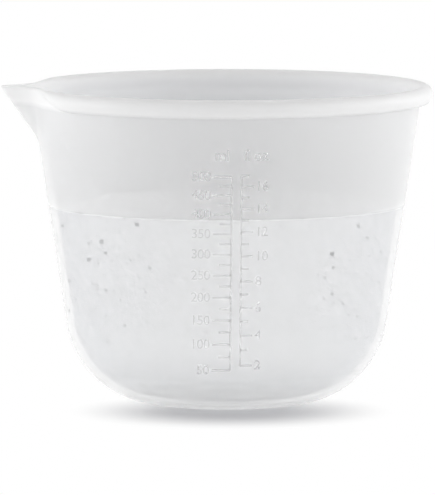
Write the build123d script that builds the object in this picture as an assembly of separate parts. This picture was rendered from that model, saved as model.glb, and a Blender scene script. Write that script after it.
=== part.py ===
from build123d import *
import math
import os

# Resin mixing cup: one moulding of translucent silicone, holding a charge of clear resin.
# Millimetres. The cup stands on its base at the origin, with its axis along Z.
# The pouring spout points along -X and the raised scale faces -Y.

# Bowl
rim_diameter = 125.0
cup_height = 96.5
base_diameter = 40.0
corner_radius = 28.8
wall_thickness = 2.0
floor_thickness = 2.6
hollow_flats = 7

# Rolled rim, and the stretch beside the spout where its bead runs out
bead_diameter = 5.6
bead_fade_half_width = 34.0
bead_remnant = 0.1

# Pouring spout
spout_reach = 68.2
spout_depth = 16.0
spout_half_width = 17.0
spout_shoulder_inset = 0.3
spout_lip_wall = 1.5
root_bury = 2.0
channel_bury = 1.0
tip_round_share = 0.07
flank_curve_share = 2.6
flank_shares = (0.08, 0.2, 0.36, 0.6, 1.0)

# Fine round lip of the spout
lip_diameter = 1.8
lip_drop = 0.05
lip_merge = 16.0

# Raised scale: millilitres on the left of two spines, fluid ounces on the right
mark_height = 0.4
mark_width = 0.6
spine_spacing = 2.9
millilitre_tick = 5.4
ounce_tick = 3.6
half_tick_share = 0.65
millilitre_step = 25.0
ounce_step = 29.574
scale_bottom = 14.0
scale_headroom = 22.5
cubic_mm_per_ml = 1000.0
slice_count = 2000

# Resin
resin_level = 60.0
resin_clearance = 0.3
meniscus_rise = 0.6
meniscus_width = 1.8

# How far a cutting shape runs past what it cuts
overrun = 1.5

# Wall line: tangent to the corner arc below and to the inner side of the bead above
bead_radius = bead_diameter / 2
bead_height = cup_height - bead_radius
bead_x = rim_diameter / 2 - bead_radius
corner_x = base_diameter / 2
corner_z = corner_radius
span_x = bead_x - corner_x
span_z = bead_height - corner_z
tangent_reach = corner_radius - wall_thickness + bead_radius
wall_lean = math.acos(tangent_reach / math.hypot(span_x, span_z)) - math.atan2(span_z, span_x)
wall_start = math.pi / 2 - wall_lean
wall_across = wall_thickness / math.cos(wall_lean)


def wall_radius(height, inset):
    """Radius of the straight wall at a height, inset from its outer face."""
    run = corner_radius - inset + (height - corner_z) * math.sin(wall_lean)
    return corner_x + run / math.cos(wall_lean)


def corner_point(inset, angle):
    """Point of the corner arc, inset from the outer face, at an angle from straight down."""
    radius = corner_radius - inset
    return (corner_x + radius * math.sin(angle), corner_z - radius * math.cos(angle))


def corner_angle(inset, height):
    """Angle from straight down at which an inset corner arc passes a height."""
    return math.acos((corner_z - height) / (corner_radius - inset))


def hollow_corner(inset):
    """Corner inside the bowl, in short flats from the floor's edge up to the straight wall."""
    radius = corner_radius - floor_thickness
    centre = wall_radius(corner_z, inset) - radius / math.cos(wall_lean)
    turns = [wall_start * count / hollow_flats for count in range(hollow_flats + 1)]
    return [(centre + radius * math.sin(turn), corner_z - radius * math.cos(turn)) for turn in turns]


def hollow_radius(height):
    """Radius of the bowl's hollow at any height above its floor."""
    corner = hollow_corner(wall_thickness)
    for (near, low), (far, high) in zip(corner, corner[1:]):
        if height <= high:
            return near + (far - near) * (height - low) / (high - low)
    return wall_radius(height, wall_thickness)


def bowl_arc(inset, start, end):
    """Part of the corner arc, inset from the outer face, between two angles."""
    middle = (start + end) / 2
    return ThreePointArc(
        corner_point(inset, start), corner_point(inset, middle), corner_point(inset, end)
    )


def bowl_core(inset, bottom, top):
    """Solid of revolution that fills the bowl, inset from its outer face, between two heights."""
    start = corner_angle(inset, bottom)
    with BuildSketch(Plane.XZ) as profile:
        with BuildLine():
            Line((0, bottom), corner_point(inset, start))
            bowl_arc(inset, start, wall_start)
            Line(corner_point(inset, wall_start), (wall_radius(top, inset), top))
            Line((wall_radius(top, inset), top), (0, top))
            Line((0, top), (0, bottom))
        make_face()
    return revolve(profile.sketch, Axis.Z)


def bowl_with_rim():
    """Bowl and rolled rim turned from one section, its foot then rounded by the large corner."""
    hollow = hollow_corner(wall_thickness)
    foot = (wall_radius(0, 0), 0)
    inset = bead_radius - wall_thickness
    below = math.sqrt(bead_radius**2 - inset**2)
    bead_inside = (
        bead_x - bead_radius * math.cos(wall_lean),
        bead_height + bead_radius * math.sin(wall_lean),
    )
    bead_outside = (
        bead_x - inset * math.cos(wall_lean) - below * math.sin(wall_lean),
        bead_height + inset * math.sin(wall_lean) - below * math.cos(wall_lean),
    )
    with BuildSketch(Plane.XZ) as profile:
        with BuildLine():
            Line((0, 0), foot)
            Line(foot, bead_outside)
            ThreePointArc(bead_outside, (bead_x + bead_radius, bead_height), bead_inside)
            Line(bead_inside, hollow[-1])
            Polyline(*reversed(hollow))
            Line(hollow[0], (0, floor_thickness))
            Line((0, floor_thickness), (0, 0))
        make_face()
    block = revolve(profile.sketch, Axis.Z)
    return fillet(block.edges().filter_by(GeomType.CIRCLE).group_by(Axis.Z)[0], corner_radius)


def bead_run_out():
    """Crescent outside a large circle, which thins the bead away towards the spout."""
    rim_radius = rim_diameter / 2
    near = wall_radius(bead_height, 0) + bead_remnant
    far = math.sqrt(rim_radius**2 - bead_fade_half_width**2)
    centre = (bead_fade_half_width**2 + far**2 - near**2) / (2 * (near - far))
    with BuildSketch(Plane((0, 0, bead_height - bead_diameter))) as plan:
        with Locations((-rim_radius, 0)):
            Rectangle(rim_radius, rim_diameter)
        with Locations((centre, 0)):
            Circle(centre + near, mode=Mode.SUBTRACT)
    return extrude(plan.sketch, 2 * bead_diameter)


# Spout: the wall flares into a beak, edged by a fine round lip
lip_radius = lip_diameter / 2
lip_height = cup_height - lip_drop - lip_radius
lip_reach = spout_reach - lip_radius
spout_root = cup_height - spout_depth
spout_angle = math.asin(spout_half_width / wall_radius(lip_height, 0))


def spout_point(radius, angle, height):
    """Point at an angle from the spout's centre line, which is the -X axis."""
    return Vector(-radius * math.cos(angle), radius * math.sin(angle), height)


def spout_outline(shoulder, tip, shares):
    """Half outline of the beak at lip height, from its rounded tip to its hollow flank's end."""
    points = []
    for share in shares:
        soft = math.hypot(share, tip_round_share) - tip_round_share
        soft = soft / (math.hypot(1, tip_round_share) - tip_round_share)
        radius = shoulder + (tip - shoulder) * (1 - soft) ** flank_curve_share
        points.append(spout_point(radius, share * spout_angle, lip_height))
    return points


def mirrored(points):
    """Whole outline from one half that starts on the centre line."""
    other = [Vector(point.X, -point.Y, point.Z) for point in reversed(points[1:])]
    return other + points


def beak(inset, tip, root, bury, top):
    """Cone of the beak: from a point buried in the wall below its root, out to the lip and on."""
    root_radius = wall_radius(root, inset)
    slope = (tip - root_radius) / (lip_height - root)
    apex = spout_point(root_radius - bury * slope, 0, root - bury)
    scale = (top - apex.Z) / (lip_height - apex.Z)
    shoulder = wall_radius(lip_height, inset) - spout_shoulder_inset
    outline = mirrored(spout_outline(shoulder, tip, (0, *flank_shares)))
    flank = [apex + (point - apex) * scale for point in outline]
    inside = apex + (spout_point(shoulder / 2, 0, lip_height) - apex) * scale
    with BuildSketch(Plane((0, 0, top))) as plan:
        with BuildLine():
            curve = Spline(*[(point.X, point.Y) for point in flank])
            Line(curve @ 1, (inside.X, inside.Y))
            Line((inside.X, inside.Y), curve @ 0)
        make_face()
    return loft([Vertex(*apex), plan.sketch.face()])


def spout_lip():
    """Round lip that leaves the bead on one side, edges the beak and joins the bead again."""
    middle = wall_radius(lip_height, wall_thickness / 2)
    merge = lip_merge / wall_radius(lip_height, 0)
    half = spout_outline(middle, lip_reach, (0, *flank_shares))
    half.append(spout_point((middle + bead_x) / 2, spout_angle + merge / 2, lip_height))
    half.append(spout_point(bead_x, spout_angle + merge, lip_height))
    path = Spline(*mirrored(half))
    with BuildSketch(Plane(origin=path @ 0, z_dir=path % 0)) as section:
        Circle(lip_radius)
    return sweep(section.sketch, path)


def with_spout(cup):
    """Cup with the beak's shell added, its channel cut and its lip rounded."""
    shell = beak(0, lip_reach + spout_lip_wall / 2, spout_root, root_bury, lip_height)
    shell -= bowl_core(wall_thickness / 2, floor_thickness, cup_height + overrun)
    channel_root = spout_root + wall_thickness * math.sin(wall_lean + spout_angle)
    channel_tip = lip_reach - spout_lip_wall / 2
    channel_top = cup_height + overrun
    channel = beak(wall_thickness, channel_tip, channel_root, channel_bury, channel_top)
    return cup - bead_run_out() + shell - channel + spout_lip()


def filling():
    """Heights of a level surface, slice by slice, and the volume that the cup then holds."""
    step = (bead_height - floor_thickness) / slice_count
    held = 0
    for count in range(slice_count):
        bottom = floor_thickness + count * step
        held += math.pi * hollow_radius(bottom + step / 2) ** 2 * step
        yield bottom + step, held


def tick_heights(step):
    """Count and height of each tick between the scale's ends, one for every step of volume."""
    count = 1
    for height, held in filling():
        if held >= step * count:
            if scale_bottom < height < cup_height - scale_headroom:
                yield count, height
            count += 1


def tick_row(step, length, spine, side):
    """Rectangles of one row of ticks and its spine: centre x, centre z, width, height."""
    marks = []
    for count, height in tick_heights(step * cubic_mm_per_ml):
        reach = length if count % 2 == 0 else length * half_tick_share
        marks.append((spine + side * reach / 2, height, reach, mark_width))
    low = marks[0][1]
    high = marks[-1][1]
    marks.append((spine, (low + high) / 2, mark_width, high - low + mark_width))
    return marks


def raised_scale():
    """Ticks and spines standing proud of the wall, following its curve down the front."""
    left = -spine_spacing / 2
    right = spine_spacing / 2
    marks = tick_row(millilitre_step, millilitre_tick, left, -1)
    marks += tick_row(ounce_step, ounce_tick, right, 1)
    with BuildSketch(Plane.XZ) as front:
        for x, z, width, height in marks:
            with Locations((x, z)):
                Rectangle(width, height)
    skin = bowl_core(-mark_height, floor_thickness, bead_height)
    skin -= bowl_core(wall_thickness / 2, floor_thickness, bead_height)
    return skin & extrude(front.sketch, rim_diameter / 2)


def resin():
    """Charge of resin: it fills the bowl to its level and climbs a little at the wall."""
    inset = wall_thickness + resin_clearance
    corner = hollow_corner(inset)
    flat = wall_radius(resin_level, inset) - meniscus_width
    edge = (wall_radius(resin_level + meniscus_rise, inset), resin_level + meniscus_rise)
    with BuildSketch(Plane.XZ) as profile:
        with BuildLine():
            Line((0, floor_thickness), corner[0])
            Polyline(*corner)
            Line(corner[-1], edge)
            Line(edge, (flat, resin_level))
            Line((flat, resin_level), (0, resin_level))
            Line((0, resin_level), (0, floor_thickness))
        make_face()
    return revolve(profile.sketch, Axis.Z)


cup = with_spout(bowl_with_rim()) + raised_scale()
charge = resin()

os.makedirs("parts", exist_ok=True)
export_step(cup, "parts/silicone_cup.step")
export_step(charge, "parts/resin_charge.step")

print("wall leans", round(math.degrees(wall_lean), 2), "degrees")
print("cup holds", round(list(filling())[-1][1] / cubic_mm_per_ml), "ml up to its bead")
print("resin charge", round(charge.volume / cubic_mm_per_ml), "ml")
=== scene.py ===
import math

import bpy
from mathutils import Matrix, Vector


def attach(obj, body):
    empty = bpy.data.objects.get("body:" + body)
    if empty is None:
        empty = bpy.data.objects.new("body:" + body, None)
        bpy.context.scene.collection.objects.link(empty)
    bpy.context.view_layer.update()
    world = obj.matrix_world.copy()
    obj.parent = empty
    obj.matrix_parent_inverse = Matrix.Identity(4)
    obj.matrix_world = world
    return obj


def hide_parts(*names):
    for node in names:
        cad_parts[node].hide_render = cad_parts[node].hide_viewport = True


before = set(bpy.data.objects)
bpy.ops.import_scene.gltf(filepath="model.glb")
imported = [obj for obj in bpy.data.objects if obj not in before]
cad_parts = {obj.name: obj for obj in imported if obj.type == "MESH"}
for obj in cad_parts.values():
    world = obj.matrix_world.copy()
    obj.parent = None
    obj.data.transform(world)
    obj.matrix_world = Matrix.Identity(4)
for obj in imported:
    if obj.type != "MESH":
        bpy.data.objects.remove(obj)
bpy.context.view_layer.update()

# The view: a long lens, a little above the table and turned a few degrees towards the spout.
# Sizes are in millimetres on the object and in pixels of a 435 x 495 picture, and mm turns them to metres.
mm = 0.001
picture_width = 435
picture_height = 495
pixels_per_mm = 3.304
axis_pixel = 226.6
base_pixel = 402.0
lens = 720
sensor = 36
view_rise = math.radians(5.5)
view_turn = math.radians(-3.0)

rightward = Vector((math.cos(view_turn), math.sin(view_turn), 0))
nearward = Vector((math.sin(view_turn), -math.cos(view_turn), 0))
camera_distance = picture_height / pixels_per_mm * mm * lens / sensor
aim_right = (picture_width / 2 - axis_pixel) / pixels_per_mm * mm
aim_height = (base_pixel - picture_height / 2) / pixels_per_mm / math.cos(view_rise) * mm
aim = rightward * aim_right + Vector((0, 0, aim_height))
camera_way = nearward * math.cos(view_rise) + Vector((0, 0, math.sin(view_rise)))

camera_data = bpy.data.cameras.new("camera")
camera_data.lens = lens
camera_data.sensor_width = sensor
camera_data.clip_start = 0.05
camera_data.clip_end = 20
camera = bpy.data.objects.new("camera", camera_data)
camera.location = aim + camera_way * camera_distance
camera.rotation_euler = (-camera_way).to_track_quat("-Z", "Y").to_euler()
bpy.context.scene.collection.objects.link(camera)
bpy.context.scene.camera = camera
bpy.context.scene.view_settings.view_transform = "Standard"


# The cup: one moulding of platinum-cured silicone rubber, milky and translucent, with a satin skin.
# Its bowl is turned from one section, and the rolled rim thins out into the flared pouring spout.
rim_diameter = 125.0
cup_height = 96.5
base_diameter = 40.0
corner_radius = 28.8
wall_thickness = 2.0
floor_thickness = 2.6
bead_diameter = 5.6
spout_reach = 68.2
spout_depth = 16.0
tip_rounding_loss = 0.5
flare_lead = 5.0
wet_height = 60.6
bead_foot = 87.5
crest_width = 0.6

# How finely the section is cut, run by run
foot_steps = 26
wall_steps = 8
flare_steps = 18
bead_steps = 34
hollow_steps = 22
dry_steps = 4

# In metres: points nearer than weld become one, and a radius under hair is on the axis
weld = 1e-6
hair = 1e-7

bead_radius = bead_diameter / 2
bead_x = rim_diameter / 2 - bead_radius
bead_z = cup_height - bead_radius
corner_x = base_diameter / 2
lean = math.acos(
    (corner_radius - wall_thickness + bead_radius) / math.hypot(bead_x - corner_x, bead_z - corner_radius)
) - math.atan2(bead_z - corner_radius, bead_x - corner_x)


def wall_radius(height, inset):
    """Radius of the leaning wall in millimetres, inset from its outer face."""
    return corner_x + (corner_radius - inset + (height - corner_radius) * math.sin(lean)) / math.cos(lean)


def arc(centre_x, centre_z, radius, start, end, steps):
    """Points along an arc of the section; the angles are from straight out, in radians."""
    turns = [start + (end - start) * step / steps for step in range(steps + 1)]
    return [(centre_x + radius * math.cos(turn), centre_z + radius * math.sin(turn)) for turn in turns]


def run(start, end, steps):
    """Points along a straight run of the section, without its two ends."""
    shares = [step / steps for step in range(1, steps)]
    return [tuple(a + (b - a) * share for a, b in zip(start, end)) for share in shares]


def inner_corner(inset, floor):
    """Corner arc of an inner face: centre x and radius."""
    radius = corner_radius - floor
    return wall_radius(corner_radius, inset) - radius / math.cos(lean), radius


knee = cup_height - spout_depth
flare_start = knee - flare_lead
hollow_x, hollow_radius = inner_corner(wall_thickness, floor_thickness)

# The bead's place on the wall, and the thin lip's, which takes over in the spout
inset = bead_radius - wall_thickness
below = math.sqrt(bead_radius**2 - inset**2)
bead_start = math.atan2(
    inset * math.sin(lean) - below * math.cos(lean),
    -inset * math.cos(lean) - below * math.sin(lean),
)
bead_end = math.pi - lean
slim_radius = wall_thickness / 2
slim_x = wall_radius(cup_height - slim_radius, slim_radius)
slim_z = cup_height - slim_radius

outer_foot = [(0.0, 0.0), (corner_x * 0.5, 0.0), (corner_x * 0.9, 0.0)]
outer_foot += arc(corner_x, corner_radius, corner_radius, -math.pi / 2, -lean, foot_steps)
outer_knee = (wall_radius(flare_start, 0), flare_start)
outer_foot += run(outer_foot[-1], outer_knee, wall_steps) + [outer_knee]
inner_foot = arc(hollow_x, corner_radius, hollow_radius, -lean, -math.pi / 2, hollow_steps)
inner_foot += [(hollow_x * 0.5, floor_thickness), (0.0, floor_thickness)]
inner_top = (wall_radius(flare_start, wall_thickness), flare_start)
wet_line = (wall_radius(wet_height, wall_thickness), wet_height)
inner_foot = [wet_line] + run(wet_line, inner_foot[0], wall_steps) + inner_foot
inner_foot = [inner_top] + run(inner_top, wet_line, dry_steps) + inner_foot

bead = arc(bead_x, bead_z, bead_radius, bead_start, bead_end, bead_steps)
slim = arc(slim_x, slim_z, slim_radius, -lean, math.pi - lean, bead_steps)
full_points = outer_foot + run(outer_knee, bead[0], flare_steps) + bead
full_points += run(bead[-1], inner_top, flare_steps) + inner_foot
slim_points = outer_foot + run(outer_knee, slim[0], flare_steps) + slim
slim_points += run(slim[-1], inner_top, flare_steps) + inner_foot


def add(tree, kind, inputs=None, **settings):
    """A node with its settings and inputs; an input given a socket is linked to it."""
    node = tree.nodes.new(kind)
    for name, value in settings.items():
        setattr(node, name, value)
    for key, value in (inputs or {}).items():
        if isinstance(value, bpy.types.NodeSocket):
            tree.links.new(value, node.inputs[key])
        else:
            node.inputs[key].default_value = value
    return node


def node_tree(name, sockets):
    """An empty Geometry Nodes tree with a geometry in and out and named inputs."""
    tree = bpy.data.node_groups.new(name, "GeometryNodeTree")
    tree.interface.new_socket("Geometry", in_out="INPUT", socket_type="NodeSocketGeometry")
    tree.interface.new_socket("Geometry", in_out="OUTPUT", socket_type="NodeSocketGeometry")
    for socket_name, kind in sockets.items():
        tree.interface.new_socket(socket_name, in_out="INPUT", socket_type=kind)
    return tree


def made_by(source, tree, values, name):
    """A plain mesh object of one material, from a source run through a tree with its inputs set."""
    modifier = source.modifiers.new("nodes", "NODES")
    modifier.node_group = tree
    for item in tree.interface.items_tree:
        if item.in_out == "INPUT" and item.name in values:
            modifier[item.identifier] = values[item.name]
    bpy.context.view_layer.update()
    evaluated = source.evaluated_get(bpy.context.evaluated_depsgraph_get())
    mesh = bpy.data.meshes.new_from_object(evaluated)
    source.modifiers.remove(modifier)
    old = source.data
    source.data = mesh
    bpy.data.meshes.remove(old)
    finish = [material for material in mesh.materials if material]
    mesh.materials.clear()
    for material in finish:
        mesh.materials.append(material)
    for face in mesh.polygons:
        face.material_index = 0
    source.name = name
    mesh.name = name
    return source


def section_object(name, points, slims):
    """A line of section points, each with its other place, where the bead has thinned to the spout's lip."""
    mesh = bpy.data.meshes.new(name)
    places = [(x * mm, 0, z * mm) for x, z in points]
    mesh.from_pydata(places, [(n, n + 1) for n in range(len(places) - 1)], [])
    slim_place = mesh.attributes.new("slim", "FLOAT_VECTOR", "POINT")
    for n, (x, z) in enumerate(slims):
        slim_place.data[n].vector = (x * mm, 0, z * mm)
    section = bpy.data.objects.new(name, mesh)
    bpy.context.scene.collection.objects.link(section)
    return section


turned = node_tree(
    "turned with a spout",
    {
        "Steps": "NodeSocketInt",
        "Section points": "NodeSocketInt",
        "Spout reach": "NodeSocketFloat",
        "Spout root": "NodeSocketFloat",
        "Spout depth": "NodeSocketFloat",
        "Spout half angle": "NodeSocketFloat",
        "Tip rounding": "NodeSocketFloat",
        "Flank hollow": "NodeSocketFloat",
        "Root softness": "NodeSocketFloat",
        "Bead gone": "NodeSocketFloat",
        "Bead full": "NodeSocketFloat",
        "Crowding": "NodeSocketFloat",
        "Finish": "NodeSocketMaterial",
    },
)
given = add(turned, "NodeGroupInput").outputs
steps_and_one = add(turned, "ShaderNodeMath", {0: given["Steps"], 1: 1.0}, operation="ADD")
grid = add(
    turned, "GeometryNodeMeshGrid",
    {"Vertices X": steps_and_one.outputs[0], "Vertices Y": given["Section points"]},
)
index = add(turned, "GeometryNodeInputIndex")
column = add(turned, "ShaderNodeMath", {0: index.outputs[0], 1: given["Section points"]}, operation="DIVIDE")
column = add(turned, "ShaderNodeMath", {0: column.outputs[0]}, operation="FLOOR")
row = add(
    turned, "ShaderNodeMath", {0: index.outputs[0], 1: given["Section points"]}, operation="FLOORED_MODULO"
)
full_turn = add(turned, "ShaderNodeMath", {0: column.outputs[0], 1: math.tau}, operation="MULTIPLY")
full_turn = add(turned, "ShaderNodeMath", {0: full_turn.outputs[0], 1: given["Steps"]}, operation="DIVIDE")
swing = add(turned, "ShaderNodeMath", {0: full_turn.outputs[0]}, operation="SINE")
swing = add(turned, "ShaderNodeMath", {0: swing.outputs[0], 1: given["Crowding"]}, operation="MULTIPLY")
angle = add(turned, "ShaderNodeMath", {0: full_turn.outputs[0], 1: swing.outputs[0]}, operation="SUBTRACT")
other_way = add(turned, "ShaderNodeMath", {0: math.tau, 1: angle.outputs[0]}, operation="SUBTRACT")
away = add(turned, "ShaderNodeMath", {0: angle.outputs[0], 1: other_way.outputs[0]}, operation="MINIMUM")
away_squared = add(turned, "ShaderNodeMath", {0: away.outputs[0], 1: 2.0}, operation="POWER")
soft_squared = add(turned, "ShaderNodeMath", {0: given["Tip rounding"], 1: 2.0}, operation="POWER")
soft = add(
    turned, "ShaderNodeMath", {0: away_squared.outputs[0], 1: soft_squared.outputs[0]}, operation="ADD"
)
soft = add(turned, "ShaderNodeMath", {0: soft.outputs[0]}, operation="SQRT")
soft = add(turned, "ShaderNodeMath", {0: soft.outputs[0], 1: given["Tip rounding"]}, operation="SUBTRACT")
bead_share = add(
    turned, "ShaderNodeMapRange",
    {"Value": away.outputs[0], "From Min": given["Bead gone"], "From Max": given["Bead full"]},
    interpolation_type="SMOOTHSTEP",
)
position = add(turned, "GeometryNodeInputPosition")
slim_name = add(turned, "GeometryNodeInputNamedAttribute", {"Name": "slim"}, data_type="FLOAT_VECTOR")
full_place = add(
    turned, "GeometryNodeSampleIndex",
    {"Geometry": given["Geometry"], "Index": row.outputs[0]}, data_type="FLOAT_VECTOR", domain="POINT",
)
turned.links.new(position.outputs[0], full_place.inputs["Value"])
slim_place = add(
    turned, "GeometryNodeSampleIndex",
    {"Geometry": given["Geometry"], "Index": row.outputs[0]}, data_type="FLOAT_VECTOR", domain="POINT",
)
turned.links.new(slim_name.outputs["Attribute"], slim_place.inputs["Value"])
place = add(
    turned, "ShaderNodeMix",
    {"Factor": bead_share.outputs["Result"], 4: slim_place.outputs[0], 5: full_place.outputs[0]},
    data_type="VECTOR",
)
split = add(turned, "ShaderNodeSeparateXYZ", {0: place.outputs[1]})
rise = add(turned, "ShaderNodeMath", {0: split.outputs[2], 1: given["Spout root"]}, operation="SUBTRACT")
rise_squared = add(turned, "ShaderNodeMath", {0: rise.outputs[0], 1: 2.0}, operation="POWER")
ease_squared = add(turned, "ShaderNodeMath", {0: given["Root softness"], 1: 2.0}, operation="POWER")
eased = add(
    turned, "ShaderNodeMath", {0: rise_squared.outputs[0], 1: ease_squared.outputs[0]}, operation="ADD"
)
eased = add(turned, "ShaderNodeMath", {0: eased.outputs[0]}, operation="SQRT")
eased = add(turned, "ShaderNodeMath", {0: eased.outputs[0], 1: rise.outputs[0]}, operation="ADD")
half_depth = add(turned, "ShaderNodeMath", {0: given["Spout depth"], 1: 2.0}, operation="MULTIPLY")
flared = add(turned, "ShaderNodeMath", {0: eased.outputs[0], 1: half_depth.outputs[0]}, operation="DIVIDE")
width = add(
    turned, "ShaderNodeMath", {0: flared.outputs[0], 1: given["Spout half angle"]}, operation="MULTIPLY"
)
across = add(turned, "ShaderNodeMath", {0: soft.outputs[0], 1: width.outputs[0]}, operation="DIVIDE")
near = add(turned, "ShaderNodeMath", {0: 1.0, 1: across.outputs[0]}, operation="SUBTRACT")
near = add(turned, "ShaderNodeMath", {0: near.outputs[0], 1: 0.0}, operation="MAXIMUM")
near = add(turned, "ShaderNodeMath", {0: near.outputs[0], 1: given["Flank hollow"]}, operation="POWER")
push = add(turned, "ShaderNodeMath", {0: near.outputs[0], 1: flared.outputs[0]}, operation="MULTIPLY")
push = add(turned, "ShaderNodeMath", {0: push.outputs[0], 1: given["Spout reach"]}, operation="MULTIPLY")
radius = add(turned, "ShaderNodeMath", {0: split.outputs[0], 1: push.outputs[0]}, operation="ADD")
on_axis = add(turned, "ShaderNodeMath", {0: split.outputs[0], 1: hair}, operation="GREATER_THAN")
radius = add(turned, "ShaderNodeMath", {0: radius.outputs[0], 1: on_axis.outputs[0]}, operation="MULTIPLY")
cosine = add(turned, "ShaderNodeMath", {0: angle.outputs[0]}, operation="COSINE")
sine = add(turned, "ShaderNodeMath", {0: angle.outputs[0]}, operation="SINE")
to_x = add(turned, "ShaderNodeMath", {0: radius.outputs[0], 1: cosine.outputs[0]}, operation="MULTIPLY")
to_x = add(turned, "ShaderNodeMath", {0: to_x.outputs[0], 1: -1.0}, operation="MULTIPLY")
to_y = add(turned, "ShaderNodeMath", {0: radius.outputs[0], 1: sine.outputs[0]}, operation="MULTIPLY")
joined = add(
    turned, "ShaderNodeCombineXYZ", {0: to_x.outputs[0], 1: to_y.outputs[0], 2: split.outputs[2]}
)
placed = add(
    turned, "GeometryNodeSetPosition", {"Geometry": grid.outputs["Mesh"], "Position": joined.outputs[0]}
)
closed = add(turned, "GeometryNodeMergeByDistance", {"Geometry": placed.outputs[0], "Distance": weld})
outward = add(turned, "GeometryNodeFlipFaces", {"Mesh": closed.outputs[0]})
smooth = add(turned, "GeometryNodeSetShadeSmooth", {"Geometry": outward.outputs[0]})
real = add(turned, "GeometryNodeRealizeInstances", {"Geometry": smooth.outputs[0]})
finished = add(turned, "GeometryNodeSetMaterial", {"Geometry": real.outputs[0], "Material": given["Finish"]})
add(turned, "NodeGroupOutput", {0: finished.outputs[0]})


def linear(colour):
    """Linear RGBA from an sRGB hex colour."""
    channels = [int(colour[n:n + 2], 16) / 255 for n in (1, 3, 5)]
    return [c / 12.92 if c <= 0.04045 else ((c + 0.055) / 1.055) ** 2.4 for c in channels] + [1]


def new_material(name):
    """A material with an empty node tree and its output."""
    material = bpy.data.materials.new(name)
    material.use_nodes = True
    material.node_tree.nodes.clear()
    return material, material.node_tree, add(material.node_tree, "ShaderNodeOutputMaterial")


# Moulded silicone: white bodied and milky, so the thick bead and floor hide what lies behind them and a
# 2 mm wall doesn't, least where resin backs it. milkiness gives how much it hides at each height.
# A blasted mould leaves a satin sheen and a grain, drawn coarser here than the real one.
grain_size = 0.7
milkiness = [
    (0.0, 0.62), (3.0, 0.34), (11.0, 0.22), (wet_height - 0.7, 0.22),
    (wet_height, 0.58), (90.5, 0.6), (92.0, 0.85),
]
milky = {
    "IOR": 1.41, "Subsurface Weight": 1.0, "Subsurface Radius": (1.0, 1.0, 1.0), "Subsurface Scale": 0.004,
}
silicone, tree, out = new_material("moulded silicone rubber")
coordinates = add(tree, "ShaderNodeTexCoord")
grain = add(
    tree, "ShaderNodeTexNoise",
    {
        "Vector": coordinates.outputs["Object"], "Scale": 1 / (grain_size * mm),
        "Detail": 2.0, "Roughness": 0.6,
    },
)
bump = add(tree, "ShaderNodeBump", {"Strength": 0.12, "Distance": 0.0002, "Height": grain.outputs[0]})
parts = add(tree, "ShaderNodeSeparateXYZ", {0: coordinates.outputs["Object"]})
level = add(tree, "ShaderNodeMapRange", {"Value": parts.outputs[2], "From Max": cup_height * mm})
ramp = add(tree, "ShaderNodeValToRGB", {0: level.outputs["Result"]})
ramp.color_ramp.elements[0].color = [milkiness[0][1]] * 3 + [1]
ramp.color_ramp.elements[1].color = [milkiness[-1][1]] * 3 + [1]
for height, alpha in milkiness[1:]:
    stop = ramp.color_ramp.elements.new(height / cup_height)
    stop.color = [alpha] * 3 + [1]
skin = add(
    tree, "ShaderNodeBsdfPrincipled",
    {
        **milky, "Base Color": linear("#fcfcfd"), "Roughness": 0.42, "Alpha": ramp.outputs[0],
        "Normal": bump.outputs[0],
    },
)
tree.links.new(skin.outputs[0], out.inputs["Surface"])

# Inside, the core of the mould is finer: the same silicone, more matt. Its colour is greyed by painted shade,
# the shade in the bowl's hollow, and fades back to white up the bead to the crest, where the thick bead also
# hides more.
inside, tree, out = new_material("silicone inside the bowl, painted shade")
coordinates = add(tree, "ShaderNodeTexCoord")
parts = add(tree, "ShaderNodeSeparateXYZ", {0: coordinates.outputs["Object"]})
up_the_bead = add(
    tree, "ShaderNodeMapRange",
    {"Value": parts.outputs[2], "From Min": bead_foot * mm, "From Max": (cup_height - crest_width) * mm},
)
# painted shade: grey low on the inner wall, white again at the crest
ramp = add(tree, "ShaderNodeValToRGB", {0: up_the_bead.outputs["Result"]})
ramp.color_ramp.elements[0].color = linear("#d6d7d9")
ramp.color_ramp.elements[1].color = linear("#fcfcfd")
cover = add(tree, "ShaderNodeMapRange", {"Value": up_the_bead.outputs["Result"], "To Min": 0.6, "To Max": 0.85})
skin = add(
    tree, "ShaderNodeBsdfPrincipled",
    {
        **milky, "Base Color": ramp.outputs[0], "Roughness": 0.55, "Alpha": cover.outputs["Result"],
    },
)
tree.links.new(skin.outputs[0], out.inputs["Surface"])

# The same silicone where resin wets its inner face: the satin fills with resin and turns nearly clear,
# with the resin's faint blue.
wetted, tree, out = new_material("silicone wetted by resin")
skin = add(
    tree, "ShaderNodeBsdfPrincipled",
    {**milky, "Base Color": linear("#e8eefb"), "Roughness": 0.3, "Alpha": 0.05},
)
tree.links.new(skin.outputs[0], out.inputs["Surface"])

spout_shape = {
    "Spout root": knee * mm,
    "Spout depth": spout_depth * mm,
    "Spout half angle": math.radians(14),
    "Tip rounding": math.radians(0.9),
    "Flank hollow": 2.8,
    "Root softness": 1.6 * mm,
    "Bead gone": math.radians(12),
    "Bead full": math.radians(36),
}
cup = made_by(
    section_object("cup_bowl", full_points, slim_points),
    turned,
    {
        **spout_shape,
        "Steps": 360,
        "Section points": len(full_points),
        "Spout reach": (spout_reach + tip_rounding_loss - wall_radius(cup_height, 0)) * mm,
        "Crowding": 0.75,
        "Finish": silicone,
    },
    "cup_bowl",
)
cup.data.materials.append(inside)
cup.data.materials.append(wetted)
# Inner faces above the floor take the inside material with its painted shade; those under the resin take the
# wetted one.
for face in cup.data.polygons:
    middle = face.center
    inwards = face.normal.x * middle.x + face.normal.y * middle.y <= 0
    if inwards and floor_thickness / 2 * mm < middle.z < (cup_height - crest_width) * mm:
        face.material_index = 2 if middle.z < wet_height * mm else 1
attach(cup, "cup")
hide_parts("silicone_cup")


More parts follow.
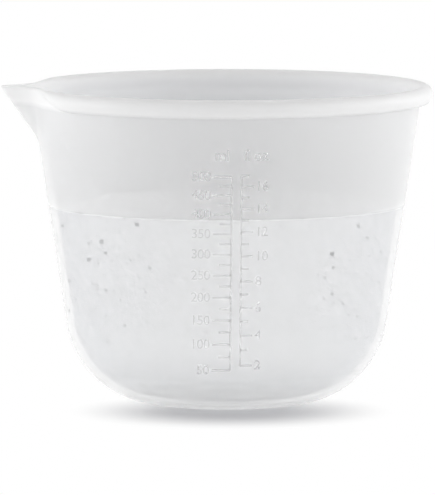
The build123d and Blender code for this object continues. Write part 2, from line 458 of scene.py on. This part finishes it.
# The resin: mixed clear epoxy, poured to a level with a low meniscus where it wets the wall.
# It is loose in the cup, a hair smaller than the hollow.
resin_level = 60.0
resin_clearance = 0.3
meniscus_rise = 0.6
meniscus_width = 1.8
film_edge = 0.02
resin_corner_steps = 26
resin_wall_steps = 10
meniscus_steps = 10
resin_inset = wall_thickness + resin_clearance

resin_x, resin_radius = inner_corner(resin_inset, floor_thickness)
rim = (wall_radius(resin_level + meniscus_rise, resin_inset), resin_level + meniscus_rise)
flat_x = wall_radius(resin_level, resin_inset) - meniscus_width
bend = ((rim[0] - flat_x) ** 2 + meniscus_rise**2) / (2 * meniscus_rise)
half_bend = math.asin((rim[0] - flat_x) / bend)
resin_points = [(0.0, floor_thickness), (resin_x * 0.6, floor_thickness)]
resin_points += arc(resin_x, corner_radius, resin_radius, -math.pi / 2, -lean, resin_corner_steps)
resin_points += run(resin_points[-1], rim, resin_wall_steps)
resin_points += arc(flat_x, resin_level + bend, bend, half_bend - math.pi / 2, -math.pi / 2, meniscus_steps)
resin_points += [(flat_x * 0.97, resin_level), (flat_x * 0.6, resin_level), (0.0, resin_level)]

# Liquid epoxy: clear and faintly blue, with a mirror gloss. Its edge bends light away and reads darker.
epoxy, tree, out = new_material("clear epoxy resin")
edge = add(tree, "ShaderNodeLayerWeight", {"Blend": 0.1})
cover = add(tree, "ShaderNodeMapRange", {"Value": edge.outputs["Facing"], "To Min": 0.03, "To Max": 0.28})
body = add(
    tree, "ShaderNodeBsdfPrincipled",
    {"Base Color": linear("#d6e1f3"), "Roughness": 0.05, "IOR": 1.5, "Alpha": cover.outputs["Result"]},
)
tree.links.new(body.outputs[0], out.inputs["Surface"])

# The meniscus: its steep clear slope turns the light of the room away, and that dark line is painted shade in
# its grey base colour.
slope, tree, out = new_material("epoxy resin meniscus")
body = add(
    tree, "ShaderNodeBsdfPrincipled",
    {"Base Color": linear("#8f9296"), "Roughness": 0.05, "IOR": 1.5, "Alpha": 0.5},
)
tree.links.new(body.outputs[0], out.inputs["Surface"])

resin = made_by(
    section_object("resin_pool", resin_points, resin_points),
    turned,
    {
        **spout_shape,
        "Steps": 220,
        "Section points": len(resin_points),
        "Spout reach": 0.0,
        "Crowding": 0.0,
        "Finish": epoxy,
    },
    "resin_pool",
)
resin.data.materials.append(slope)
for face in resin.data.polygons:
    if face.center.z > (resin_level + film_edge) * mm:
        face.material_index = 1
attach(resin, "charge")
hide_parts("resin_charge")


# The bubbles: air beaten in by stirring, which clings where the resin meets the wall, most of it in two
# drifts to the left and right of the scale. The places of those in front are read off the photograph, in
# its pixels, and those behind are strewn.
large_bubbles = [(102.7, 241.7), (138.3, 225.0), (330.7, 253.7), (90.0, 259.3)]
middle_bubbles = [
    (81.7, 212.7), (63.3, 225.7), (106.7, 252.7), (150.7, 267.7), (107.3, 290.0), (69.3, 281.0),
    (125.7, 324.3), (356.7, 226.7), (366.0, 237.7), (331.7, 267.3), (323.3, 277.3), (330.7, 293.3),
    (341.7, 303.3),
]
small_bubbles = [
    (99.3, 263.3), (131.7, 260.0), (93.3, 283.3), (115.0, 290.7), (146.7, 291.7), (76.0, 299.3),
    (121.7, 299.3), (69.3, 310.7), (107.3, 315.0), (108.3, 341.7), (138.3, 339.3), (364.0, 212.3),
    (380.0, 251.7), (348.3, 260.0), (316.7, 274.3), (378.3, 281.7), (322.3, 298.3), (332.3, 302.3),
    (347.7, 314.0), (331.7, 325.7), (354.3, 338.3),
]
large_radius = 0.65
middle_radius = 0.48
small_radius = 0.36
least_radius = 0.2
back_start = 12.0
strewn_per_square_metre = 3500.0
aiming_passes = 4


def resin_at(height):
    """Radius of the resin in millimetres at a height."""
    if height < corner_radius - resin_radius * math.sin(lean):
        return resin_x + math.sqrt(resin_radius**2 - (corner_radius - height) ** 2)
    return wall_radius(height, resin_inset)


def against_wall(pixel, radius):
    """Place of a bubble just inside the resin's face that the photograph shows at a pixel."""
    across = (pixel[0] - axis_pixel) / pixels_per_mm
    height = (base_pixel - pixel[1]) / pixels_per_mm
    for aiming in range(aiming_passes):
        depth = math.sqrt(max((resin_at(height) - radius) ** 2 - across**2, 0))
        height = (base_pixel - pixel[1]) / pixels_per_mm + depth * math.sin(view_rise)
        height /= math.cos(view_rise)
    return (rightward * across + nearward * depth + Vector((0, 0, height))) * mm


bubble_mesh = bpy.data.meshes.new("bubbles")
sized = [(pixel, large_radius) for pixel in large_bubbles]
sized += [(pixel, middle_radius) for pixel in middle_bubbles]
sized += [(pixel, small_radius) for pixel in small_bubbles]
bubble_mesh.from_pydata([against_wall(pixel, radius) for pixel, radius in sized], [], [])
sizes = bubble_mesh.attributes.new("size", "FLOAT", "POINT")
for n, (pixel, radius) in enumerate(sized):
    sizes.data[n].value = radius * mm
bubble_source = bpy.data.objects.new("bubbles", bubble_mesh)
bpy.context.scene.collection.objects.link(bubble_source)

bubbly = node_tree(
    "bubbles at the wall",
    {
        "Resin": "NodeSocketObject",
        "Behind": "NodeSocketFloat",
        "Density": "NodeSocketFloat",
        "Least radius": "NodeSocketFloat",
        "Most radius": "NodeSocketFloat",
        "Seed": "NodeSocketInt",
        "Finish": "NodeSocketMaterial",
    },
)
given = add(bubbly, "NodeGroupInput").outputs
position = add(bubbly, "GeometryNodeInputPosition")
normal = add(bubbly, "GeometryNodeInputNormal")
parts = add(bubbly, "ShaderNodeSeparateXYZ", {0: position.outputs[0]})
tilt = add(bubbly, "ShaderNodeSeparateXYZ", {0: normal.outputs[0]})
tilt = add(bubbly, "ShaderNodeMath", {0: tilt.outputs[2]}, operation="ABSOLUTE")
upright = add(bubbly, "ShaderNodeMath", {0: tilt.outputs[0], 1: 0.5}, operation="LESS_THAN")
behind = add(bubbly, "ShaderNodeMath", {0: parts.outputs[1], 1: given["Behind"]}, operation="GREATER_THAN")
chosen = add(bubbly, "ShaderNodeMath", {0: upright.outputs[0], 1: behind.outputs[0]}, operation="MULTIPLY")
pool = add(bubbly, "GeometryNodeObjectInfo", {"Object": given["Resin"]})
strewn = add(
    bubbly, "GeometryNodeDistributePointsOnFaces",
    {
        "Mesh": pool.outputs["Geometry"], "Selection": chosen.outputs[0],
        "Density": given["Density"], "Seed": given["Seed"],
    },
)
chance = add(
    bubbly, "FunctionNodeRandomValue",
    {2: given["Least radius"], 3: given["Most radius"], "Seed": given["Seed"]}, data_type="FLOAT",
)
strewn_sized = add(
    bubbly, "GeometryNodeStoreNamedAttribute",
    {"Geometry": strewn.outputs["Points"], "Name": "size", "Value": chance.outputs[1]},
    data_type="FLOAT", domain="POINT",
)
inward = add(
    bubbly, "ShaderNodeVectorMath",
    {0: strewn.outputs["Normal"], "Scale": -middle_radius * mm}, operation="SCALE",
)
strewn_placed = add(
    bubbly, "GeometryNodeSetPosition", {"Geometry": strewn_sized.outputs[0], "Offset": inward.outputs[0]}
)
seen_points = add(bubbly, "GeometryNodeMeshToPoints", {"Mesh": given["Geometry"]})
everywhere = add(bubbly, "GeometryNodeJoinGeometry")
bubbly.links.new(seen_points.outputs[0], everywhere.inputs[0])
bubbly.links.new(strewn_placed.outputs[0], everywhere.inputs[0])
ball = add(bubbly, "GeometryNodeMeshIcoSphere", {"Radius": 1.0, "Subdivisions": 2})
size_name = add(bubbly, "GeometryNodeInputNamedAttribute", {"Name": "size"}, data_type="FLOAT")
balls = add(
    bubbly, "GeometryNodeInstanceOnPoints",
    {"Points": everywhere.outputs[0], "Instance": ball.outputs[0], "Scale": size_name.outputs["Attribute"]},
)
real = add(bubbly, "GeometryNodeRealizeInstances", {"Geometry": balls.outputs[0]})
smooth = add(bubbly, "GeometryNodeSetShadeSmooth", {"Geometry": real.outputs[0]})
finished = add(
    bubbly, "GeometryNodeSetMaterial", {"Geometry": smooth.outputs[0], "Material": given["Finish"]}
)
add(bubbly, "NodeGroupOutput", {0: finished.outputs[0]})

# Air in resin: the bubble's curved skin turns light back, so its edge reads dark round a paler middle; that
# dark edge is painted shade, a grey base colour that shows most at the edge.
air, tree, out = new_material("air bubble in resin")
edge = add(tree, "ShaderNodeLayerWeight", {"Blend": 0.35})
cover = add(
    tree, "ShaderNodeMapRange", {"Value": edge.outputs["Facing"], "To Min": 0.25, "To Max": 0.7},
)
body = add(
    tree, "ShaderNodeBsdfPrincipled",
    {"Base Color": linear("#5c6065"), "Roughness": 0.1, "IOR": 1.33, "Alpha": cover.outputs["Result"]},
)
tree.links.new(body.outputs[0], out.inputs["Surface"])

bubbles = made_by(
    bubble_source,
    bubbly,
    {
        "Resin": resin,
        "Behind": back_start * mm,
        "Density": strewn_per_square_metre,
        "Least radius": least_radius * mm,
        "Most radius": middle_radius * mm,
        "Seed": 7,
        "Finish": air,
    },
    "air_bubbles",
)
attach(bubbles, "charge")
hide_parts("resin_charge")


# The scale: marks left by shallow cuts in the mould, so they are one with the wall and stand 0.4 mm proud.
# Millilitres read left of two spines and fluid ounces right of them, where the bowl holds those volumes.
mark_height = 0.4
mark_sunk = 0.1
mark_width = 0.6
spine_spacing = 2.9
millilitre_tick = 5.4
ounce_tick = 3.6
half_tick_share = 0.65
ounce = 29.574
scale_bottom = 14.0
scale_top = 74.0
patch_size = 2.0
numeral_size = 4.1
numeral_gap = 0.6
letter_spacing = 0.92
unit_size = 4.8
unit_height = 79.8


def hollow_at(height):
    """Radius of the bowl's hollow in millimetres at a height."""
    if height < corner_radius - hollow_radius * math.sin(lean):
        return hollow_x + math.sqrt(hollow_radius**2 - (corner_radius - height) ** 2)
    return wall_radius(height, wall_thickness)


def tick_heights(step):
    """Count and height of each tick on the scale, one for every step of volume in millilitres."""
    slice_height = 0.05
    held = 0.0
    count = 1
    height = floor_thickness
    while height < scale_top:
        held += math.pi * hollow_at(height + slice_height / 2) ** 2 * slice_height / 1000
        height += slice_height
        if held >= step * count:
            if height > scale_bottom:
                yield count, height
            count += 1


flat_points = []
flat_faces = []


def lay_patch(x, z, width, height):
    """Lay a flat rectangle of the scale, in cells small enough to follow the wall."""
    columns = math.ceil(width / patch_size)
    rows = math.ceil(height / patch_size)
    first = len(flat_points)
    for j in range(rows + 1):
        for i in range(columns + 1):
            flat_points.append((x + width * (i / columns - 0.5), z + height * (j / rows - 0.5)))
    for j in range(rows):
        for i in range(columns):
            corner = first + j * (columns + 1) + i
            flat_faces.append((corner, corner + 1, corner + columns + 2, corner + columns + 1))


def lay_words(words, x, z, size, side):
    """Lay a number or a unit with its near end at x, reading away to the side given."""
    letters = bpy.data.curves.new(words, "FONT")
    letters.body = words
    letters.size = size
    letters.resolution_u = 3
    letters.space_character = letter_spacing
    letters.align_x = "RIGHT" if side < 0 else "LEFT"
    letters.align_y = "CENTER"
    shape = bpy.data.objects.new(words, letters)
    bpy.context.scene.collection.objects.link(shape)
    bpy.context.view_layer.update()
    mesh = bpy.data.meshes.new_from_object(shape.evaluated_get(bpy.context.evaluated_depsgraph_get()))
    first = len(flat_points)
    flat_points.extend((x + vertex.co.x, z + vertex.co.y) for vertex in mesh.vertices)
    flat_faces.extend(tuple(first + n for n in face.vertices) for face in mesh.polygons)
    bpy.data.objects.remove(shape)
    bpy.data.meshes.remove(mesh)


for step, factor, length, side, unit in (
    (25.0, 25, millilitre_tick, -1, "ml"),
    (ounce, 1, ounce_tick, 1, "fl oz"),
):
    spine = side * spine_spacing / 2
    rungs = list(tick_heights(step))
    for count, height in rungs:
        reach = length if count % 2 == 0 else length * half_tick_share
        lay_patch(spine + side * reach / 2, height, reach, mark_width)
        if count % 2 == 0:
            number_at = spine + side * (length + numeral_gap)
            lay_words(str(count * factor), number_at, height, numeral_size, side)
    low_rung = rungs[0][1]
    high_rung = rungs[-1][1]
    lay_patch(spine, (low_rung + high_rung) / 2, mark_width, high_rung - low_rung)
    lay_words(unit, spine + side * numeral_gap, unit_height, unit_size, side)

scale_mesh = bpy.data.meshes.new("raised_scale")
scale_mesh.from_pydata([(x * mm, 0, z * mm) for x, z in flat_points], [], flat_faces)
scale_source = bpy.data.objects.new("raised_scale", scale_mesh)
bpy.context.scene.collection.objects.link(scale_source)

moulded = node_tree(
    "moulded on the wall",
    {
        "Wall": "NodeSocketObject",
        "Raised": "NodeSocketFloat",
        "Sunk": "NodeSocketFloat",
        "Reach": "NodeSocketFloat",
        "Finish": "NodeSocketMaterial",
    },
)
given = add(moulded, "NodeGroupInput").outputs
merged = add(moulded, "GeometryNodeMergeByDistance", {"Geometry": given["Geometry"], "Distance": weld})
proud = add(
    moulded, "GeometryNodeExtrudeMesh",
    {"Mesh": merged.outputs[0], "Offset Scale": given["Raised"], "Individual": False},
)
under = add(moulded, "GeometryNodeFlipFaces", {"Mesh": merged.outputs[0]})
shut = add(moulded, "GeometryNodeJoinGeometry")
moulded.links.new(proud.outputs["Mesh"], shut.inputs[0])
moulded.links.new(under.outputs[0], shut.inputs[0])
solid = add(moulded, "GeometryNodeMergeByDistance", {"Geometry": shut.outputs[0], "Distance": weld})
# Each point is cast back onto the wall, and stands off it by its own height less what is sunk.
position = add(moulded, "GeometryNodeInputPosition")
parts = add(moulded, "ShaderNodeSeparateXYZ", {0: position.outputs[0]})
before = add(moulded, "ShaderNodeMath", {0: 0.0, 1: given["Reach"]}, operation="SUBTRACT")
start = add(
    moulded, "ShaderNodeCombineXYZ", {0: parts.outputs[0], 1: before.outputs[0], 2: parts.outputs[2]}
)
bowl = add(moulded, "GeometryNodeObjectInfo", {"Object": given["Wall"]})
cast = add(
    moulded, "GeometryNodeRaycast",
    {
        "Target Geometry": bowl.outputs["Geometry"], "Source Position": start.outputs[0],
        "Ray Direction": (0, 1, 0), "Ray Length": given["Reach"],
    },
)
ratio = add(moulded, "ShaderNodeMath", {0: given["Sunk"], 1: given["Raised"]}, operation="DIVIDE")
ratio = add(moulded, "ShaderNodeMath", {0: ratio.outputs[0], 1: 1.0}, operation="ADD")
stand = add(moulded, "ShaderNodeMath", {0: parts.outputs[1], 1: ratio.outputs[0]}, operation="MULTIPLY")
stand = add(moulded, "ShaderNodeMath", {0: stand.outputs[0], 1: given["Sunk"]}, operation="ADD")
stand = add(moulded, "ShaderNodeMath", {0: stand.outputs[0], 1: -1.0}, operation="MULTIPLY")
out_by = add(
    moulded, "ShaderNodeVectorMath",
    {0: cast.outputs["Hit Normal"], "Scale": stand.outputs[0]}, operation="SCALE",
)
place = add(
    moulded, "ShaderNodeVectorMath", {0: cast.outputs["Hit Position"], 1: out_by.outputs[0]}, operation="ADD"
)
wrapped = add(
    moulded, "GeometryNodeSetPosition", {"Geometry": solid.outputs[0], "Position": place.outputs[0]}
)
real = add(moulded, "GeometryNodeRealizeInstances", {"Geometry": wrapped.outputs[0]})
finished = add(moulded, "GeometryNodeSetMaterial", {"Geometry": real.outputs[0], "Material": given["Finish"]})
add(moulded, "NodeGroupOutput", {0: finished.outputs[0]})

# The same silicone where the mark adds to it: a thin layer more, so the mark reads faintly.
mark, tree, out = new_material("raised silicone mark")
skin = add(
    tree, "ShaderNodeBsdfPrincipled",
    {**milky, "Base Color": linear("#fdfdfe"), "Roughness": 0.38, "Alpha": 0.11},
)
tree.links.new(skin.outputs[0], out.inputs["Surface"])

scale = made_by(
    scale_source,
    moulded,
    {"Wall": cup, "Raised": mark_height * mm, "Sunk": mark_sunk * mm, "Reach": 0.1, "Finish": mark},
    "raised_scale",
)
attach(scale, "cup")
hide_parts("silicone_cup")


# The table: a white sweep that keeps the soft shadow under the cup and fades to plain white. Near the cup and
# a little in front of it the paper is a pale grey, a painted shadow that deepens the cast one.
floor_half = 3.0
floor_drop = 0.1
shadow_ahead = 25.0
shadow_core = 12.0
shadow_edge = 50.0


def sight_of(tree):
    """The Light Path node, and a node that gives 1 to what is seen directly, in a gloss or through glass."""
    path = add(tree, "ShaderNodeLightPath")
    seen = add(
        tree, "ShaderNodeMath",
        {0: path.outputs["Is Camera Ray"], 1: path.outputs["Is Glossy Ray"]}, operation="MAXIMUM",
    )
    seen = add(
        tree, "ShaderNodeMath",
        {0: seen.outputs[0], 1: path.outputs["Is Transmission Ray"]}, operation="MAXIMUM",
    )
    return path, seen


corners = [(-1, -1), (1, -1), (1, 1), (-1, 1)]
floor_mesh = bpy.data.meshes.new("table")
floor_mesh.from_pydata(
    [(floor_half * x, floor_half * y, -floor_drop * mm) for x, y in corners], [], [(0, 1, 2, 3)],
)
table = bpy.data.objects.new("table", floor_mesh)
bpy.context.scene.collection.objects.link(table)
paper, tree, out = new_material("white paper with painted shadow")
coordinates = add(tree, "ShaderNodeTexCoord")
ahead = add(
    tree, "ShaderNodeMapping",
    {"Vector": coordinates.outputs["Object"], "Location": (0, shadow_ahead * mm, 0)},
)
far = add(tree, "ShaderNodeVectorMath", {0: ahead.outputs[0]}, operation="LENGTH")
fade = add(
    tree, "ShaderNodeMapRange",
    {"Value": far.outputs["Value"], "From Min": shadow_core * mm, "From Max": shadow_edge * mm},
    interpolation_type="SMOOTHSTEP",
)
# painted shadow: pale grey paper about the cup's foot, where the fade keeps it
painted_shadow_grey = add(tree, "ShaderNodeBsdfDiffuse", {"Color": linear("#d9d9db")})
plain = add(tree, "ShaderNodeEmission", {"Color": (1, 1, 1, 1), "Strength": 1.0})
path, seen = sight_of(tree)
share = add(tree, "ShaderNodeMath", {0: seen.outputs[0], 1: fade.outputs[0]}, operation="MULTIPLY")
mixed = add(tree, "ShaderNodeMixShader", {0: share.outputs[0], 1: painted_shadow_grey.outputs[0], 2: plain.outputs[0]})
lit = add(tree, "ShaderNodeEmission", {"Color": (1, 1, 1, 1), "Strength": 0.95})
mixed = add(
    tree, "ShaderNodeMixShader",
    {0: path.outputs["Is Diffuse Ray"], 1: mixed.outputs[0], 2: lit.outputs[0]},
)
tree.links.new(mixed.outputs[0], out.inputs["Surface"])
floor_mesh.materials.append(paper)

# The studio: a pale room, dim behind the camera and overhead, with a large soft box at each side and a
# weak one above. The camera sees plain white in its place.
lamps_aim = Vector((0, 0, 0.05))
world = bpy.data.worlds.new("studio")
bpy.context.scene.world = world
world.use_nodes = True
tree = world.node_tree
tree.nodes.clear()
path, seen = sight_of(tree)
way = add(tree, "ShaderNodeTexCoord")
parts = add(tree, "ShaderNodeSeparateXYZ", {0: way.outputs["Generated"]})
front = add(
    tree, "ShaderNodeMapRange",
    {"Value": parts.outputs[1], "From Min": -0.3, "From Max": -0.98, "To Min": 2.15, "To Max": 0.4},
    interpolation_type="SMOOTHSTEP",
)
back = add(
    tree, "ShaderNodeMapRange",
    {"Value": parts.outputs[1], "From Min": 0.3, "From Max": 0.95, "To Min": 1.9, "To Max": 1.0},
    interpolation_type="SMOOTHSTEP",
)
level = add(
    tree, "ShaderNodeMath", {0: front.outputs["Result"], 1: back.outputs["Result"]}, operation="MINIMUM"
)
overhead = add(
    tree, "ShaderNodeMapRange",
    {"Value": parts.outputs[2], "From Min": 0.1, "From Max": 0.9, "To Min": 1.0, "To Max": 0.22},
    interpolation_type="SMOOTHSTEP",
)
level = add(
    tree, "ShaderNodeMath", {0: level.outputs[0], 1: overhead.outputs["Result"]}, operation="MULTIPLY"
)
room = add(tree, "ShaderNodeBackground", {"Color": (1, 1, 1, 1), "Strength": level.outputs[0]})
white = add(tree, "ShaderNodeBackground", {"Color": (1, 1, 1, 1), "Strength": 1.0})
mixed = add(tree, "ShaderNodeMixShader", {0: seen.outputs[0], 1: room.outputs[0], 2: white.outputs[0]})
add(tree, "ShaderNodeOutputWorld", {"Surface": mixed.outputs[0]})

for name, place, size, watts in (
    ("left box", (-0.85, -0.05, 0.15), 0.8, 1.3),
    ("right box", (0.85, -0.05, 0.15), 0.8, 2.2),
    ("top box", (0.0, 0.1, 0.9), 0.9, 0.02),
):
    lamp = bpy.data.lights.new(name, "AREA")
    lamp.size = size
    lamp.energy = watts
    box = bpy.data.objects.new(name, lamp)
    box.location = place
    box.rotation_euler = (lamps_aim - Vector(place)).to_track_quat("-Z", "Y").to_euler()
    bpy.context.scene.collection.objects.link(box)
